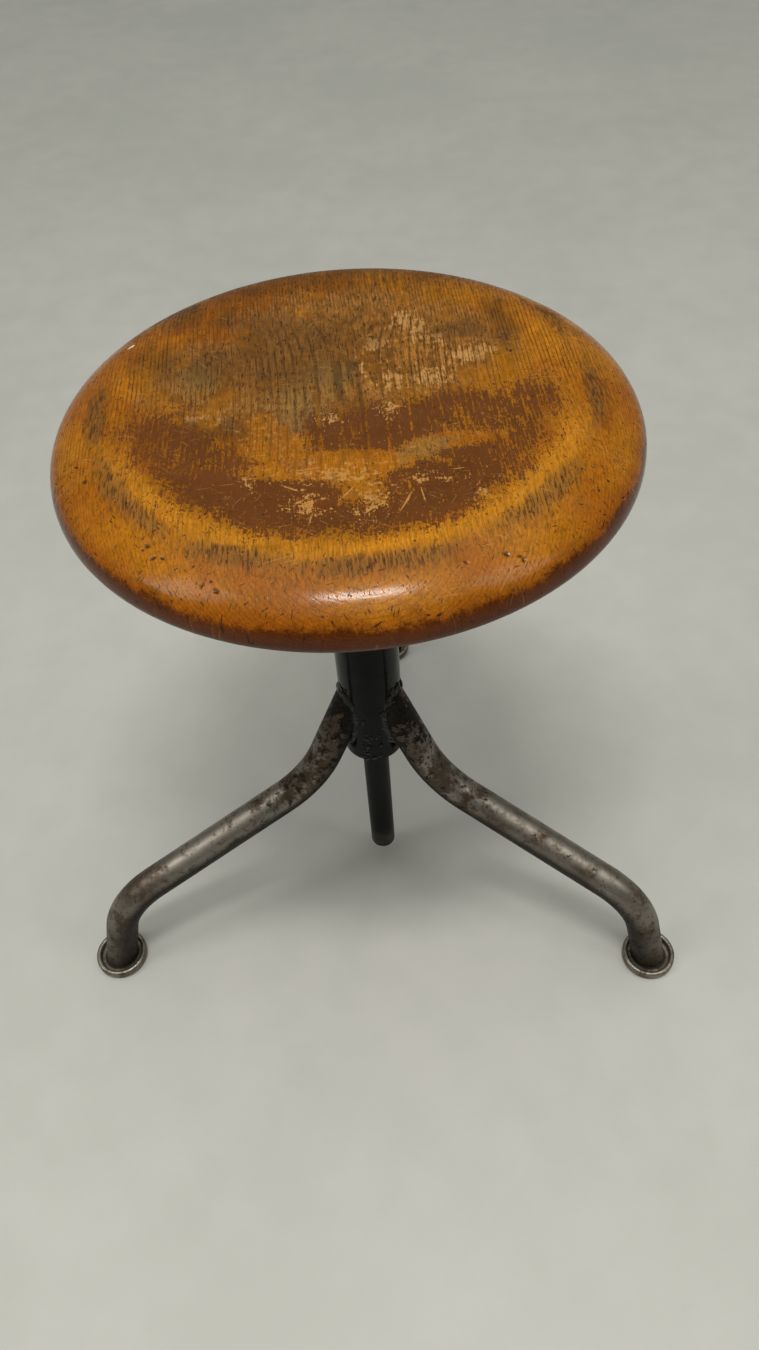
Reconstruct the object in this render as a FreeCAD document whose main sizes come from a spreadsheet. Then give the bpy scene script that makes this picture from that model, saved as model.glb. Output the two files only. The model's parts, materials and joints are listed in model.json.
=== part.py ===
import FreeCAD, Part

# Low workshop stool: a dished round wooden seat on a screw spindle, in a welded three-legged
# frame of steel tube with pressed cup feet.
#
# Millimetres, +Z up. The origin is where the swivel axis meets the floor. The rear leg points
# along +Y and the two front legs are set evenly about -Y. The seat is drawn at its lowest.

import math
import os

import Sketcher
from FreeCAD import Placement, Rotation, Vector

DIMENSIONS = {
    # seat
    "seat_radius": 175.0,
    "seat_top": 501.0,
    "seat_underside": 467.5,
    "seat_crest_radius": 134.4,
    "seat_roll_height": 27.1,
    "seat_edge_round": 20.0,
    "seat_lower_round": 6.0,
    "seat_dish_depth": 7.0,
    "seat_flat_radius": 40.0,
    "seat_crest_blend": 100.0,
    # hub tube, its nut and its guide bush
    "hub_radius": 24.15,
    "hub_wall": 3.2,
    "hub_bottom": 174.0,
    "hub_top": 432.0,
    "hub_edge_chamfer": 0.8,
    "nut_length": 36.0,
    "nut_rim_height": 4.0,
    "bush_bottom": 176.0,
    "bush_length": 26.0,
    "bush_lead_in": 1.5,
    "grub_radius": 3.0,
    "grub_stand_out": 1.0,
    "grub_slot_width": 1.0,
    "grub_slot_depth": 1.4,
    "nut_grub_height": 412.0,
    "bush_grub_height": 189.0,
    # screw spindle
    "spindle_bottom": 16.0,
    "spindle_top": 467.0,
    "shank_radius": 10.75,
    "shank_end_round": 4.5,
    "thread_radius": 14.0,
    "thread_root_radius": 11.5,
    "thread_bottom": 258.0,
    "thread_pitch": 6.0,
    "thread_root_width": 2.0,
    "thread_mouth_width": 3.4,
    "thread_clearance": 0.35,
    "spigot_radius": 10.0,
    "cross_pin_radius": 3.0,
    "cross_pin_height": 450.0,
    "cross_pin_end_gap": 0.5,
    # seat flange, its screws and the washer below it
    "boss_radius": 22.0,
    "boss_fillet": 4.0,
    "flange_radius": 65.0,
    "flange_thickness": 5.0,
    "turned_edge_chamfer": 1.0,
    "washer_thickness": 3.0,
    "washer_bore_radius": 15.0,
    "screw_count": 6,
    "screw_circle_radius": 50.0,
    "screw_head_radius": 4.6,
    "screw_shank_radius": 2.4,
    "screw_length": 27.5,
    "screw_point": 4.0,
    "screw_slot_width": 1.2,
    "screw_slot_depth": 1.2,
    "screw_clearance": 0.1,
    # legs
    "front_leg_azimuth": 115.5,
    "leg_radius": 13.45,
    "leg_wall": 2.6,
    "leg_start_radius": 5.0,
    "leg_start_height": 255.0,
    "knee_radius": 56.2,
    "knee_height": 151.8,
    "knee_bend": 78.0,
    "ankle_radius": 237.3,
    "ankle_height": 81.9,
    "ankle_bend": 63.5,
    "toe_radius": 259.4,
    "toe_height": -5.0,
    # feet
    "foot_circle_radius": 257.0,
    "cup_radius": 22.0,
    "cup_height": 9.0,
    "cup_rim_round": 2.2,
    "cup_base_round": 3.5,
    "cup_floor_top": 4.5,
    "cup_floor_bottom": 2.5,
    "cup_hollow_radius": 13.0,
    "cup_ring_inner_radius": 15.0,
    "plug_length": 30.0,
    "plug_chamfer": 2.0,
    "rivet_radius": 3.0,
    "rivet_head_radius": 6.0,
    "rivet_head_height": 1.8,
    "rivet_head_round": 1.0,
    "rivet_top": 20.0,
}

doc = FreeCAD.newDocument("WorkshopStool")
dims = doc.addObject("Spreadsheet::Sheet", "Dims")
for row, (alias, number) in enumerate(DIMENSIONS.items(), start=1):
    dims.set(f"A{row}", alias.replace("_", " "))
    dims.set(f"B{row}", str(number))
    dims.setAlias(f"B{row}", alias)
doc.recompute()

ORIGIN = -1
HORIZONTAL_AXIS = -1
VERTICAL_AXIS = -2
START = 1
END = 2
CENTRE = 3
WHOLE_TURN = 360
TOLERANCE = 1e-6
THROUGH_ALL = "ThroughAll"


def value(expression):
    """The number that a sheet expression gives now."""
    return float(dims.evalExpression(expression))


def make_body(name):
    body = doc.addObject("PartDesign::Body", name)
    body.Label = name
    return body


def origin_plane(body, role):
    return next(item for item in body.Origin.OriginFeatures if item.Role == role)


def add_sketch(body, name, role, height="0"):
    """An empty sketch on an origin plane of the body, moved out along its normal."""
    sketch = body.newObject("Sketcher::SketchObject", name)
    sketch.AttachmentSupport = [(origin_plane(body, role), "")]
    sketch.MapMode = "FlatFace"
    if height != "0":
        sketch.setExpression("AttachmentOffset.Base.z", height)
    doc.recompute()
    return sketch


def bind(sketch, constraint, expression):
    index = sketch.addConstraint(constraint)
    sketch.setExpression(f"Constraints[{index}]", expression)


def pin_point(sketch, curve, end, across, up):
    """Hold one point of a curve at a place given by two sheet expressions."""
    for kind, axis, expression in (("DistanceX", VERTICAL_AXIS, across),
                                   ("DistanceY", HORIZONTAL_AXIS, up)):
        distance = value(expression)
        if abs(distance) < TOLERANCE:
            sketch.addConstraint(Sketcher.Constraint("PointOnObject", curve, end, axis))
        else:
            bind(sketch, Sketcher.Constraint(kind, ORIGIN, START, curve, end, distance), expression)


def arc_through(start, end, radius):
    """The short arc from start to end, and whether it runs anticlockwise.

    A positive radius bulges to the right of the way from start to end.
    """
    chord = end - start
    rise = math.sqrt(max(radius * radius - (chord.Length / 2) ** 2, 0.0))
    left = Vector(-chord.y, chord.x, 0).normalize()
    anticlockwise = radius > 0
    centre = (start + end) * 0.5 + left * (rise if anticlockwise else -rise)
    angles = [math.atan2(p.y - centre.y, p.x - centre.x) for p in (start, end)]
    if not anticlockwise:
        angles.reverse()
    circle = Part.Circle(centre, Vector(0, 0, 1), abs(radius))
    return Part.ArcOfCircle(circle, *angles), anticlockwise


def add_outline(sketch, corners):
    """A closed outline through corners of (across, up) or (across, up, radius).

    A radius bends the side that starts at its corner. Places and radii are sheet expressions.
    """
    points = [Vector(value(corner[0]), value(corner[1]), 0) for corner in corners]
    ends = []
    for index, corner in enumerate(corners):
        start = points[index]
        finish = points[(index + 1) % len(points)]
        if len(corner) == 2:
            curve = sketch.addGeometry(Part.LineSegment(start, finish))
            ends.append((START, END))
        else:
            arc, anticlockwise = arc_through(start, finish, value(corner[2]))
            curve = sketch.addGeometry(arc)
            ends.append((START, END) if anticlockwise else (END, START))
        pin_point(sketch, curve, ends[-1][0], corner[0], corner[1])
        if len(corner) == 3:
            radius = abs(value(corner[2]))
            bind(sketch, Sketcher.Constraint("Radius", curve, radius), f"abs({corner[2]})")
    for index in range(len(corners)):
        following = (index + 1) % len(corners)
        sketch.addConstraint(Sketcher.Constraint(
            "Coincident", index, ends[index][1], following, ends[following][0]))


def add_feature(body, kind, name, sketch, **settings):
    feature = body.newObject(f"PartDesign::{kind}", name)
    feature.Profile = sketch
    for setting, content in settings.items():
        setattr(feature, setting, content)
    body.Tip = feature
    doc.recompute()
    return feature


def turn(body, name, corners, cut=False, axis_at=None):
    """Revolve an outline about Z, or about an upright line at axis_at along X."""
    sketch = add_sketch(body, f"{name}Outline", "XZ_Plane")
    add_outline(sketch, corners)
    axis = "V_Axis"
    if axis_at:
        line = Part.LineSegment(Vector(value(axis_at), 0, 0), Vector(value(axis_at), 1, 0))
        curve = sketch.addGeometry(line, True)
        pin_point(sketch, curve, START, axis_at, "0")
        pin_point(sketch, curve, END, axis_at, "1")
        axis = "Axis0"
    kind = "Groove" if cut else "Revolution"
    return add_feature(body, kind, name, sketch, ReferenceAxis=(sketch, [axis]), Angle=WHOLE_TURN)


def add_circle(sketch, radius, across="0", up="0"):
    centre = Vector(value(across), value(up), 0)
    curve = sketch.addGeometry(Part.Circle(centre, Vector(0, 0, 1), value(radius)))
    bind(sketch, Sketcher.Constraint("Radius", curve, value(radius)), radius)
    if abs(centre.x) < TOLERANCE and abs(centre.y) < TOLERANCE:
        sketch.addConstraint(Sketcher.Constraint("Coincident", curve, CENTRE, ORIGIN, START))
    else:
        pin_point(sketch, curve, CENTRE, across, up)


def drill(body, name, role, radius, across, up, **settings):
    sketch = add_sketch(body, f"{name}Circle", role)
    add_circle(sketch, radius, across, up)
    return add_feature(body, "Pocket", name, sketch, **settings)


def cut_slot(body, name, height, across, half_length, width, depth):
    """A screwdriver slot across a head that faces down at the given height."""
    sketch = add_sketch(body, f"{name}Outline", "XY_Plane", height)
    near = f"{across} - {half_length}"
    far = f"{across} + {half_length}"
    add_outline(sketch, [(near, f"-{width} / 2"), (far, f"-{width} / 2"),
                         (far, f"{width} / 2"), (near, f"{width} / 2")])
    slot = add_feature(body, "Pocket", name, sketch, Reversed=True)
    slot.setExpression("Length", depth)
    doc.recompute()
    return slot


def cut_helix(body, name, length, corners):
    """Cut a right-handed screw groove with the outline's section."""
    sketch = add_sketch(body, f"{name}Section", "XZ_Plane")
    add_outline(sketch, corners)
    helix = add_feature(body, "SubtractiveHelix", name, sketch,
                        ReferenceAxis=(sketch, ["V_Axis"]), Mode="pitch-height-angle")
    helix.setExpression("Pitch", "Dims.thread_pitch")
    helix.setExpression("Height", length)
    doc.recompute()
    return helix


def ring_edges(shape, radius, height):
    """Names of the round edges of one radius about Z at one height."""
    return [f"Edge{number}" for number, edge in enumerate(shape.Edges, start=1)
            if hasattr(edge.Curve, "Radius")
            and abs(edge.Curve.Radius - radius) < TOLERANCE
            and abs(edge.CenterOfMass.z - height) < TOLERANCE]


def break_edge(body, kind, name, radius, height, size):
    """Fillet or chamfer one round edge."""
    base = body.Tip
    feature = body.newObject(f"PartDesign::{kind}", name)
    feature.Base = (base, ring_edges(base.Shape, value(radius), value(height)))
    feature.setExpression("Radius" if kind == "Fillet" else "Size", size)
    body.Tip = feature
    doc.recompute()


def turn_about_z(body, degrees):
    """Turn a body about Z by an angle counted anticlockwise from +X."""
    body.Placement = Placement(Vector(), Rotation(Vector(0, 0, 1), value(degrees)))
    body.setExpression("Placement.Rotation.Angle", degrees)


def make_seat():
    body = make_body("seat_board")
    edge_height = "(Dims.seat_top - Dims.seat_roll_height)"
    run = "(Dims.seat_radius - Dims.seat_crest_radius)"
    drop = "Dims.seat_roll_height"
    small = "Dims.seat_edge_round"
    large = f"(({run} ^ 2 + {drop} ^ 2 - 2 * {run} * {small}) / (2 * ({drop} - {small})))"
    reach = f"({large} / ({large} - {small}))"
    join_across = f"Dims.seat_crest_radius + ({run} - {small}) * {reach}"
    join_up = f"Dims.seat_top - {large} + ({large} - {drop}) * {reach}"
    dish_run = "(Dims.seat_crest_radius - Dims.seat_flat_radius)"
    dish_sum = f"(({dish_run} ^ 2 + Dims.seat_dish_depth ^ 2) / (2 * Dims.seat_dish_depth))"
    dish_across = f"Dims.seat_crest_radius - Dims.seat_crest_blend * {dish_run} / {dish_sum}"
    dish_up = f"Dims.seat_top - Dims.seat_crest_blend * Dims.seat_dish_depth / {dish_sum}"
    dish_floor = "Dims.seat_top - Dims.seat_dish_depth"
    turn(body, "Turned", [
        ("0", "Dims.seat_underside"),
        ("Dims.seat_radius - Dims.seat_lower_round", "Dims.seat_underside", "Dims.seat_lower_round"),
        ("Dims.seat_radius", "Dims.seat_underside + Dims.seat_lower_round"),
        ("Dims.seat_radius", edge_height, small),
        (join_across, join_up, large),
        ("Dims.seat_crest_radius", "Dims.seat_top", "Dims.seat_crest_blend"),
        (dish_across, dish_up, f"-({dish_sum} - Dims.seat_crest_blend)"),
        ("Dims.seat_flat_radius", dish_floor),
        ("0", dish_floor),
    ])
    pilot = turn(body, "PilotHole", screw_outline("Dims.screw_clearance"), cut=True,
                 axis_at="Dims.screw_circle_radius")
    repeat_round(body, [pilot])
    return body


def screw_outline(clearance):
    """Half section of a countersunk wood screw that is driven upwards, grown by a clearance."""
    head_face = "Dims.seat_underside - Dims.flange_thickness"
    axis = "Dims.screw_circle_radius"
    shank = f"{axis} + Dims.screw_shank_radius + {clearance}"
    head = f"{axis} + Dims.screw_head_radius + {clearance}"
    neck = f"{head_face} + Dims.screw_head_radius - Dims.screw_shank_radius"
    tip = f"{head_face} + Dims.screw_length + {clearance}"
    return [(axis, head_face), (head, head_face), (shank, neck),
            (shank, f"{tip} - Dims.screw_point"), (axis, tip)]


def repeat_round(body, features):
    pattern = body.newObject("PartDesign::PolarPattern", "AroundAxis")
    pattern.Originals = features
    pattern.Axis = (origin_plane(body, "Z_Axis"), [""])
    pattern.Angle = WHOLE_TURN
    pattern.setExpression("Occurrences", "Dims.screw_count")
    body.Tip = pattern
    doc.recompute()


def make_seat_screws():
    body = make_body("seat_screws")
    screw = turn(body, "Screw", screw_outline("0"), axis_at="Dims.screw_circle_radius")
    slot = cut_slot(body, "Slot", "Dims.seat_underside - Dims.flange_thickness",
                    "Dims.screw_circle_radius", "Dims.screw_head_radius",
                    "Dims.screw_slot_width", "Dims.screw_slot_depth")
    repeat_round(body, [screw, slot])
    return body


BOSS_BOTTOM = "(Dims.hub_top + Dims.nut_rim_height + Dims.washer_thickness)"
PLATE_BOTTOM = "(Dims.seat_underside - Dims.flange_thickness)"


def make_flange():
    body = make_body("seat_flange")
    turn(body, "Turned", [
        ("Dims.spigot_radius", BOSS_BOTTOM),
        ("Dims.boss_radius", BOSS_BOTTOM),
        ("Dims.boss_radius", PLATE_BOTTOM),
        ("Dims.flange_radius", PLATE_BOTTOM),
        ("Dims.flange_radius", "Dims.seat_underside"),
        ("Dims.spigot_radius", "Dims.seat_underside"),
    ])
    break_edge(body, "Fillet", "BossRoot", "Dims.boss_radius", PLATE_BOTTOM, "Dims.boss_fillet")
    break_edge(body, "Chamfer", "PlateEdge", "Dims.flange_radius", PLATE_BOTTOM,
               "Dims.turned_edge_chamfer")
    break_edge(body, "Chamfer", "BossEdge", "Dims.boss_radius", BOSS_BOTTOM,
               "Dims.turned_edge_chamfer")
    drill(body, "CrossHole", "YZ_Plane", "Dims.cross_pin_radius", "0", "Dims.cross_pin_height",
          Type=THROUGH_ALL, Midplane=True)
    hole = turn(body, "ScrewHole", screw_outline("Dims.screw_clearance"), cut=True,
                axis_at="Dims.screw_circle_radius")
    repeat_round(body, [hole])
    return body


def make_cross_pin():
    body = make_body("spindle_cross_pin")
    sketch = add_sketch(body, "Circle", "YZ_Plane")
    add_circle(sketch, "Dims.cross_pin_radius", "0", "Dims.cross_pin_height")
    pad = add_feature(body, "Pad", "Pin", sketch, Midplane=True)
    pad.setExpression("Length", "2 * (Dims.boss_radius - Dims.cross_pin_end_gap)")
    doc.recompute()
    return body


THREAD_SIDES = "(Dims.thread_mouth_width - Dims.thread_root_width)"
THREAD_DEPTH = "(Dims.thread_radius - Dims.thread_root_radius)"
# The section that cuts a thread runs on past the crest, to this multiple of the thread's depth.
OVERCUT = 1.2


def make_spindle():
    body = make_body("spindle")
    thread_lead_in = "(Dims.thread_radius - Dims.shank_radius)"
    turn(body, "Turned", [
        ("0", "Dims.spindle_bottom"),
        ("Dims.shank_radius - Dims.shank_end_round", "Dims.spindle_bottom",
         "Dims.shank_end_round"),
        ("Dims.shank_radius", "Dims.spindle_bottom + Dims.shank_end_round"),
        ("Dims.shank_radius", "Dims.thread_bottom"),
        ("Dims.thread_radius", f"Dims.thread_bottom + {thread_lead_in}"),
        ("Dims.thread_radius", BOSS_BOTTOM),
        ("Dims.spigot_radius", BOSS_BOTTOM),
        ("Dims.spigot_radius", "Dims.spindle_top"),
        ("0", "Dims.spindle_top"),
    ])
    drill(body, "CrossHole", "YZ_Plane", "Dims.cross_pin_radius", "0", "Dims.cross_pin_height",
          Type=THROUGH_ALL, Midplane=True)
    mouth = f"(Dims.thread_root_width / 2 + {THREAD_SIDES} / 2 * {OVERCUT})"
    floor = "Dims.thread_root_width / 2"
    start = "(Dims.thread_bottom - Dims.thread_pitch)"
    outside = f"Dims.thread_root_radius + {THREAD_DEPTH} * {OVERCUT}"
    cut_helix(body, "Thread", f"{BOSS_BOTTOM} - {start}", [
        ("Dims.thread_root_radius", f"{start} - {floor}"),
        (outside, f"{start} - {mouth}"),
        (outside, f"{start} + {mouth}"),
        ("Dims.thread_root_radius", f"{start} + {floor}"),
    ])
    return body


def make_nut():
    body = make_body("spindle_nut")
    bore = "Dims.thread_root_radius + Dims.thread_clearance"
    body_radius = "Dims.hub_radius - Dims.hub_wall"
    bottom = "(Dims.hub_top - Dims.nut_length)"
    top = "Dims.hub_top + Dims.nut_rim_height"
    turn(body, "Turned", [
        (bore, bottom),
        (body_radius, bottom),
        (body_radius, "Dims.hub_top"),
        ("Dims.hub_radius", "Dims.hub_top"),
        ("Dims.hub_radius", top),
        (bore, top),
    ])
    break_edge(body, "Chamfer", "RimEdge", "Dims.hub_radius", top, "Dims.turned_edge_chamfer")
    # The nut's groove takes the spindle's ridge, half a pitch away from the spindle's groove.
    # It starts between one and two turns below the nut, so that it is whole at the nut's end.
    turns_below = f"ceil(({bottom} - Dims.thread_bottom) / Dims.thread_pitch - 2)"
    start = f"(Dims.thread_bottom + ({turns_below} - 1 / 2) * Dims.thread_pitch)"
    ridge_tip = "(Dims.thread_pitch - Dims.thread_mouth_width)"
    half_floor = f"({ridge_tip} / 2 + Dims.thread_clearance)"
    half_mouth = f"({half_floor} + {THREAD_SIDES} / 2 * {OVERCUT})"
    groove_floor = "Dims.thread_radius + Dims.thread_clearance"
    groove_mouth = f"{groove_floor} - {THREAD_DEPTH} * {OVERCUT}"
    cut_helix(body, "Thread", f"{top} - {start} + Dims.thread_pitch", [
        (groove_mouth, f"{start} - {half_mouth}"),
        (groove_floor, f"{start} - {half_floor}"),
        (groove_floor, f"{start} + {half_floor}"),
        (groove_mouth, f"{start} + {half_mouth}"),
    ])
    return body


def make_washer():
    body = make_body("buffer_washer")
    bottom = "Dims.hub_top + Dims.nut_rim_height"
    turn(body, "Cut", [
        ("Dims.washer_bore_radius", bottom),
        ("Dims.boss_radius", bottom),
        ("Dims.boss_radius", BOSS_BOTTOM),
        ("Dims.washer_bore_radius", BOSS_BOTTOM),
    ])
    return body


# The grub screws sit midway between the rear leg and the right leg.
GRUB_DIRECTION = "90 - Dims.front_leg_azimuth / 2"


def make_hub():
    body = make_body("hub_tube")
    bore = "Dims.hub_radius - Dims.hub_wall"
    turn(body, "Tube", [(bore, "Dims.hub_bottom"), ("Dims.hub_radius", "Dims.hub_bottom"),
                        ("Dims.hub_radius", "Dims.hub_top"), (bore, "Dims.hub_top")])
    break_edge(body, "Chamfer", "LowerEdge", "Dims.hub_radius", "Dims.hub_bottom",
               "Dims.hub_edge_chamfer")
    for name in ("Nut", "Bush"):
        drill(body, f"{name}GrubHole", "YZ_Plane", "Dims.grub_radius", "0",
              f"Dims.{name.lower()}_grub_height", Type=THROUGH_ALL, Reversed=True)
    turn_about_z(body, GRUB_DIRECTION)
    return body


def make_bush():
    body = make_body("guide_bush")
    bore = "Dims.shank_radius + Dims.thread_clearance"
    outside = "Dims.hub_radius - Dims.hub_wall"
    top = "Dims.bush_bottom + Dims.bush_length"
    turn(body, "Turned", [(bore, "Dims.bush_bottom"), (outside, "Dims.bush_bottom"),
                          (outside, top), (bore, top)])
    break_edge(body, "Chamfer", "LeadIn", bore, top, "Dims.bush_lead_in")
    return body


def make_grub_screw(name, height):
    """A slotted grub screw through the hub wall, its flat point on the piece inside."""
    body = make_body(name)
    point = "Dims.hub_radius - Dims.hub_wall"
    sketch = add_sketch(body, "Circle", "YZ_Plane", point)
    add_circle(sketch, "Dims.grub_radius", "0", height)
    pad = add_feature(body, "Pad", "Shank", sketch)
    pad.setExpression("Length", "Dims.hub_wall + Dims.grub_stand_out")
    face = "Dims.hub_radius + Dims.grub_stand_out"
    slot = add_sketch(body, "SlotOutline", "YZ_Plane", face)
    half = "Dims.grub_slot_width / 2"
    add_outline(slot, [("-Dims.grub_radius", f"{height} - {half}"),
                       ("Dims.grub_radius", f"{height} - {half}"),
                       ("Dims.grub_radius", f"{height} + {half}"),
                       ("-Dims.grub_radius", f"{height} + {half}")])
    pocket = add_feature(body, "Pocket", "Slot", slot)
    pocket.setExpression("Length", "Dims.grub_slot_depth")
    doc.recompute()
    turn_about_z(body, GRUB_DIRECTION)
    return body


def bend_points(before, corner, after, radius):
    """Tangent points and centre of the arc that rounds one corner of a tube's route."""
    inward = (corner - before).normalize()
    outward = (after - corner).normalize()
    half_turn = inward.getAngle(outward) / 2
    run = radius * math.tan(half_turn)
    centre = corner + (outward - inward).normalize() * (radius / math.cos(half_turn))
    return corner - inward * run, corner + outward * run, centre


def leg_route(body):
    """The leg's centre line: down the hub, out along the slope, and down to the foot."""
    names = ("leg_start", "knee", "ankle", "toe")
    places = [(f"Dims.{name}_radius", f"Dims.{name}_height") for name in names]
    start, knee, ankle, toe = (Vector(value(across), value(up), 0) for across, up in places)
    sketch = add_sketch(body, "Route", "XZ_Plane")
    line_start = start
    joints = []
    for before, corner, after, bend in ((start, knee, ankle, "Dims.knee_bend"),
                                        (knee, ankle, toe, "Dims.ankle_bend")):
        near, far, centre = bend_points(before, corner, after, value(bend))
        line = sketch.addGeometry(Part.LineSegment(line_start, near))
        angles = [math.atan2(p.y - centre.y, p.x - centre.x) for p in (near, far)]
        forward = (angles[1] - angles[0]) % (2 * math.pi) < math.pi
        if not forward:
            angles.reverse()
        circle = Part.Circle(centre, Vector(0, 0, 1), value(bend))
        arc = sketch.addGeometry(Part.ArcOfCircle(circle, *angles))
        arc_in, arc_out = (START, END) if forward else (END, START)
        joints += [(line, END, arc, arc_in), (arc, arc_out, arc + 1, START)]
        bind(sketch, Sketcher.Constraint("Radius", arc, value(bend)), bend)
        line_start = far
    last = sketch.addGeometry(Part.LineSegment(line_start, toe))
    for joint in joints:
        sketch.addConstraint(Sketcher.Constraint("Tangent", *joint))
    pin_point(sketch, 0, START, *places[0])
    pin_point(sketch, last, END, *places[-1])
    for place, lines in ((places[1], (0, 2)), (places[2], (2, last))):
        corner = Vector(value(place[0]), value(place[1]), 0)
        mark = sketch.addGeometry(Part.Point(corner), True)
        for line in lines:
            sketch.addConstraint(Sketcher.Constraint("PointOnObject", mark, START, line))
        pin_point(sketch, mark, START, *place)
    doc.recompute()
    return sketch


def trim_below_cup_floor(body):
    """Cut the lower end off level, where it stands on the cup's floor."""
    sketch = add_sketch(body, "FloorOutline", "XY_Plane", "Dims.cup_floor_top")
    reach = "2 * Dims.leg_radius"
    near = f"Dims.foot_circle_radius - {reach}"
    far = f"Dims.foot_circle_radius + {reach}"
    add_outline(sketch, [(near, f"-{reach}"), (far, f"-{reach}"), (far, reach), (near, reach)])
    add_feature(body, "Pocket", "LevelEnd", sketch, Type=THROUGH_ALL)


def make_leg(side, direction):
    body = make_body(f"leg_{side}")
    route = leg_route(body)
    bore = "Dims.leg_radius - Dims.leg_wall"
    for kind, name, radius in (("AdditivePipe", "Outside", "Dims.leg_radius"),
                               ("SubtractivePipe", "Bore", bore)):
        section = body.newObject("Sketcher::SketchObject", f"{name}Section")
        section.AttachmentSupport = [(route, "Edge1")]
        section.MapMode = "NormalToEdge"
        add_circle(section, radius)
        doc.recompute()
        add_feature(body, kind, name, section, Spine=(route, []))
    turn(body, "Cope", [
        ("0", "Dims.ankle_height"),
        ("Dims.hub_radius", "Dims.ankle_height"),
        ("Dims.hub_radius", "Dims.hub_top"),
        ("0", "Dims.hub_top"),
    ], cut=True)
    trim_below_cup_floor(body)
    turn_about_z(body, direction)
    return body


def make_plug(side, direction):
    """A turned plug in the leg's lower end, which holds the foot's rivet."""
    body = make_body(f"leg_plug_{side}")
    lean = ("atan((Dims.toe_radius - Dims.ankle_radius)"
            " / (Dims.ankle_height - Dims.toe_height))")
    sketch = body.newObject("Sketcher::SketchObject", "Section")
    sketch.AttachmentSupport = [(origin_plane(body, "XY_Plane"), "")]
    sketch.MapMode = "FlatFace"
    toe = Vector(value("Dims.toe_radius"), 0, value("Dims.toe_height"))
    sketch.AttachmentOffset = Placement(toe, Rotation(Vector(0, -1, 0), value(lean)))
    sketch.setExpression("AttachmentOffset.Base.x", "Dims.toe_radius")
    sketch.setExpression("AttachmentOffset.Base.z", "Dims.toe_height")
    sketch.setExpression("AttachmentOffset.Rotation.Angle", lean)
    add_circle(sketch, "Dims.leg_radius - Dims.leg_wall")
    pad = add_feature(body, "Pad", "Plug", sketch)
    pad.setExpression("Length", "Dims.plug_length")
    doc.recompute()
    top_edge = max(range(len(pad.Shape.Edges)), key=lambda i: pad.Shape.Edges[i].CenterOfMass.z)
    chamfer = body.newObject("PartDesign::Chamfer", "LeadIn")
    chamfer.Base = (pad, [f"Edge{top_edge + 1}"])
    chamfer.setExpression("Size", "Dims.plug_chamfer")
    body.Tip = chamfer
    doc.recompute()
    trim_below_cup_floor(body)
    hole = drill(body, "RivetHole", "XY_Plane", "Dims.rivet_radius", "Dims.foot_circle_radius", "0",
                 Reversed=True)
    hole.setExpression("Length", "Dims.rivet_top")
    doc.recompute()
    turn_about_z(body, direction)
    return body


def make_cup(side, direction):
    """A pressed steel cup with a rolled rim. Its hollow underside clears the rivet's head."""
    body = make_body(f"foot_cup_{side}")
    rim_bottom = "(Dims.cup_height - Dims.cup_rim_round)"
    inside = "(Dims.cup_radius - 2 * Dims.cup_rim_round)"
    axis = "Dims.foot_circle_radius"
    corners = [
        ("Dims.rivet_radius", "Dims.cup_floor_bottom"),
        ("Dims.cup_hollow_radius", "Dims.cup_floor_bottom"),
        ("Dims.cup_ring_inner_radius", "0"),
        ("Dims.cup_radius - Dims.cup_base_round", "0", "Dims.cup_base_round"),
        ("Dims.cup_radius", "Dims.cup_base_round"),
        ("Dims.cup_radius", rim_bottom, "Dims.cup_rim_round"),
        ("Dims.cup_radius - Dims.cup_rim_round", "Dims.cup_height", "Dims.cup_rim_round"),
        (inside, rim_bottom),
        (inside, "Dims.cup_floor_top"),
        ("Dims.rivet_radius", "Dims.cup_floor_top"),
    ]
    turn(body, "Pressed", [(f"{axis} + {corner[0]}", *corner[1:]) for corner in corners],
         axis_at=axis)
    turn_about_z(body, direction)
    return body


def make_rivet(side, direction):
    body = make_body(f"foot_rivet_{side}")
    axis = "Dims.foot_circle_radius"
    head = "Dims.rivet_head_radius"
    head_face = "Dims.cup_floor_bottom - Dims.rivet_head_height"
    turn(body, "Headed", [
        (axis, head_face),
        (f"{axis} + {head} - Dims.rivet_head_round", head_face, "Dims.rivet_head_round"),
        (f"{axis} + {head}", f"{head_face} + Dims.rivet_head_round"),
        (f"{axis} + {head}", "Dims.cup_floor_bottom"),
        (f"{axis} + Dims.rivet_radius", "Dims.cup_floor_bottom"),
        (f"{axis} + Dims.rivet_radius", "Dims.rivet_top"),
        (axis, "Dims.rivet_top"),
    ], axis_at=axis)
    turn_about_z(body, direction)
    return body


def make_stool():
    bodies = [make_hub(), make_nut(), make_bush(), make_seat(), make_seat_screws(),
              make_flange(), make_cross_pin(), make_spindle(), make_washer()]
    for name in ("nut", "bush"):
        bodies.append(make_grub_screw(f"{name}_grub_screw", f"Dims.{name}_grub_height"))
    directions = {"rear": "90", "right": "90 - Dims.front_leg_azimuth",
                  "left": "90 + Dims.front_leg_azimuth"}
    for side, direction in directions.items():
        for make_piece in (make_leg, make_plug, make_cup, make_rivet):
            bodies.append(make_piece(side, direction))
    return bodies


def check_document():
    doc.recompute()
    for item in doc.Objects:
        if "Invalid" in item.State or "Error" in item.State:
            raise RuntimeError(f"{item.Label} failed: {item.State}")
        if item.isDerivedFrom("Sketcher::SketchObject") and not item.FullyConstrained:
            raise RuntimeError(f"{item.Label} is not fully constrained")


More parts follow.
